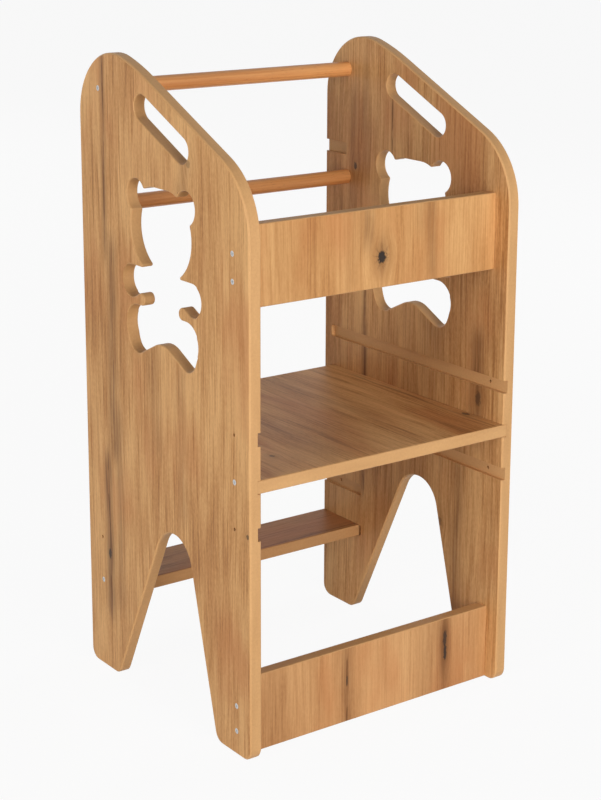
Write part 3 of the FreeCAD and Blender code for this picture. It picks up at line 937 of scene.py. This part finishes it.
# ------------------------------------------------------------------------------ studio
@dataclass(frozen=True)
class Camera:
    """The photograph's camera.

    Attributes:
        eye: its place, in metres.
        yaw: turn about the vertical, in degrees, as the two below.
        pitch: tilt upward.
        roll: tilt to the side.
        focal: focal length, in pixels of the photograph.
        centre: where its axis meets the picture, in pixels from the upper left.
        size: width and height of the picture, in pixels.
        sensor: the sensor's long side, in millimetres.
        clip: nearest and farthest distance drawn.
    """

    eye: tuple[float, float, float] = (-1.47567, -2.03656, 1.15478)
    yaw: float = -35.5923
    pitch: float = -13.3148
    roll: float = 0.1004
    focal: float = 1829.23
    centre: tuple[float, float] = (286.52, 300.0)
    size: tuple[int, int] = (601, 800)
    sensor: float = 36.0
    clip: tuple[float, float] = (0.05, 60.0)

    def build(self) -> None:
        """Places the camera and makes it the scene's."""
        yaw, pitch, roll = (math.radians(a) for a in (self.yaw, self.pitch, self.roll))
        ahead = Vector((math.sin(-yaw) * math.cos(pitch), math.cos(-yaw) * math.cos(pitch),
                        math.sin(pitch)))
        right = Vector((math.cos(-yaw), -math.sin(-yaw), 0.0))
        up = right.cross(ahead)
        right, up = (right * math.cos(roll) + up * math.sin(roll),
                     up * math.cos(roll) - right * math.sin(roll))
        data = bpy.data.cameras.new("camera")
        long_side = max(self.size)
        data.sensor_width = self.sensor
        data.lens = self.focal * self.sensor / long_side
        data.shift_x = (self.size[0] / 2.0 - self.centre[0]) / long_side
        data.shift_y = (self.centre[1] - self.size[1] / 2.0) / long_side
        data.clip_start, data.clip_end = self.clip
        camera = bpy.data.objects.new("camera", data)
        turned = Matrix((right, up, -ahead)).transposed()
        camera.matrix_world = Matrix.Translation(self.eye) @ turned.to_4x4()
        bpy.context.scene.collection.objects.link(camera)
        bpy.context.scene.camera = camera


@dataclass(frozen=True)
class Lamp:
    """One soft area lamp that looks at the middle of the stool."""

    name: str
    place: tuple[float, float, float]
    size: float
    power: float
    target: tuple[float, float, float] = (0.0, 0.0, 0.5)

    def build(self) -> None:
        """Places the lamp."""
        data = bpy.data.lights.new(self.name, "AREA")
        data.shape = "DISK"
        data.size = self.size
        data.energy = self.power
        lamp = bpy.data.objects.new(self.name, data)
        aim = Vector(self.target) - Vector(self.place)
        lamp.matrix_world = (Matrix.Translation(self.place)
                             @ aim.to_track_quat("-Z", "Y").to_matrix().to_4x4())
        lamp.visible_camera = False
        bpy.context.scene.collection.objects.link(lamp)


@dataclass(frozen=True)
class Studio:
    """Pale floor, white surroundings and soft lamps."""

    lamps: tuple[Lamp, ...] = (
        Lamp("front_lamp", (-0.50, -4.5, 1.20), 2.2, 146.0),
        Lamp("left_lamp", (-3.9, -1.1, 1.05), 2.0, 80.0),
        Lamp("right_lamp", (4.8, 0.4, 1.10), 1.6, 105.0),
        Lamp("rear_lamp", (-0.2, 6.5, 1.10), 1.6, 100.0),
    )
    ambient: float = 0.12
    floor_white: float = 0.93
    floor_grey: float = 0.72
    floor_size: float = 30.0
    floor_drop: float = 0.0005

    def build(self) -> None:
        """Builds the surroundings."""
        for lamp in self.lamps:
            lamp.build()
        self.world()
        self.floor()
        bpy.context.scene.view_settings.view_transform = "Standard"

    def world(self) -> None:
        """White to the camera and in reflections, softer as light."""
        world = bpy.data.worlds.new("studio")
        bpy.context.scene.world = world
        world.use_nodes = True
        tree = world.node_tree
        tree.nodes.clear()
        path = tree.nodes.new("ShaderNodeLightPath")
        seen = tree.nodes.new("ShaderNodeMath")
        seen.operation = "MAXIMUM"
        tree.links.new(path.outputs["Is Camera Ray"], seen.inputs[0])
        tree.links.new(path.outputs["Is Glossy Ray"], seen.inputs[1])
        light = tree.nodes.new("ShaderNodeBackground")
        light.inputs["Strength"].default_value = self.ambient
        light.inputs["Color"].default_value = WHITE
        white = tree.nodes.new("ShaderNodeBackground")
        white.inputs["Color"].default_value = WHITE
        both = tree.nodes.new("ShaderNodeMixShader")
        tree.links.new(seen.outputs[0], both.inputs[0])
        tree.links.new(light.outputs[0], both.inputs[1])
        tree.links.new(white.outputs[0], both.inputs[2])
        out = tree.nodes.new("ShaderNodeOutputWorld")
        tree.links.new(both.outputs[0], out.inputs["Surface"])

    def floor(self) -> None:
        """Pale floor that keeps a faint shadow."""
        shader = Shader("floor_white")
        path = shader.node("ShaderNodeLightPath")
        grey = (self.floor_grey, self.floor_grey, self.floor_grey, 1.0)
        matt = shader.node("ShaderNodeBsdfDiffuse", inputs={"Color": grey})
        glow = shader.node("ShaderNodeEmission", inputs={"Color": WHITE})
        seen = Term(shader, path.outputs["Is Camera Ray"])
        for ray in ("Is Glossy Ray", "Is Transmission Ray"):
            seen = seen.most(Term(shader, path.outputs[ray]))
        seen = seen * self.floor_white
        both = shader.node("ShaderNodeMixShader",
                           inputs={0: seen, 1: matt.outputs[0], 2: glow.outputs[0]})
        out = shader.node("ShaderNodeOutputMaterial")
        shader.feed(out.inputs["Surface"], both.outputs[0])
        mesh = bmesh.new()
        bmesh.ops.create_grid(mesh, x_segments=1, y_segments=1, size=self.floor_size / 2.0)
        bmesh.ops.translate(mesh, verts=mesh.verts, vec=(0.0, 0.0, -self.floor_drop))
        make_piece("floor", mesh, shader.material)


def main() -> None:
    """Builds everything in order."""
    logging.basicConfig(level=logging.INFO, format="%(message)s")
    SideBoards().dress()
    Rails().dress()
    Treads().dress()
    dress(["rear_top_bar", "rear_lower_bar"], OiledBeech().build())
    zinc = ZincSteel().build()
    for name in sorted(frame["nodes"]):
        if "screw" in name:
            Screw(name, frame["nodes"][name]["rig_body"]).build(zinc)
    Studio().build()
    Camera().build()


if __name__ == "__main__":
    main()
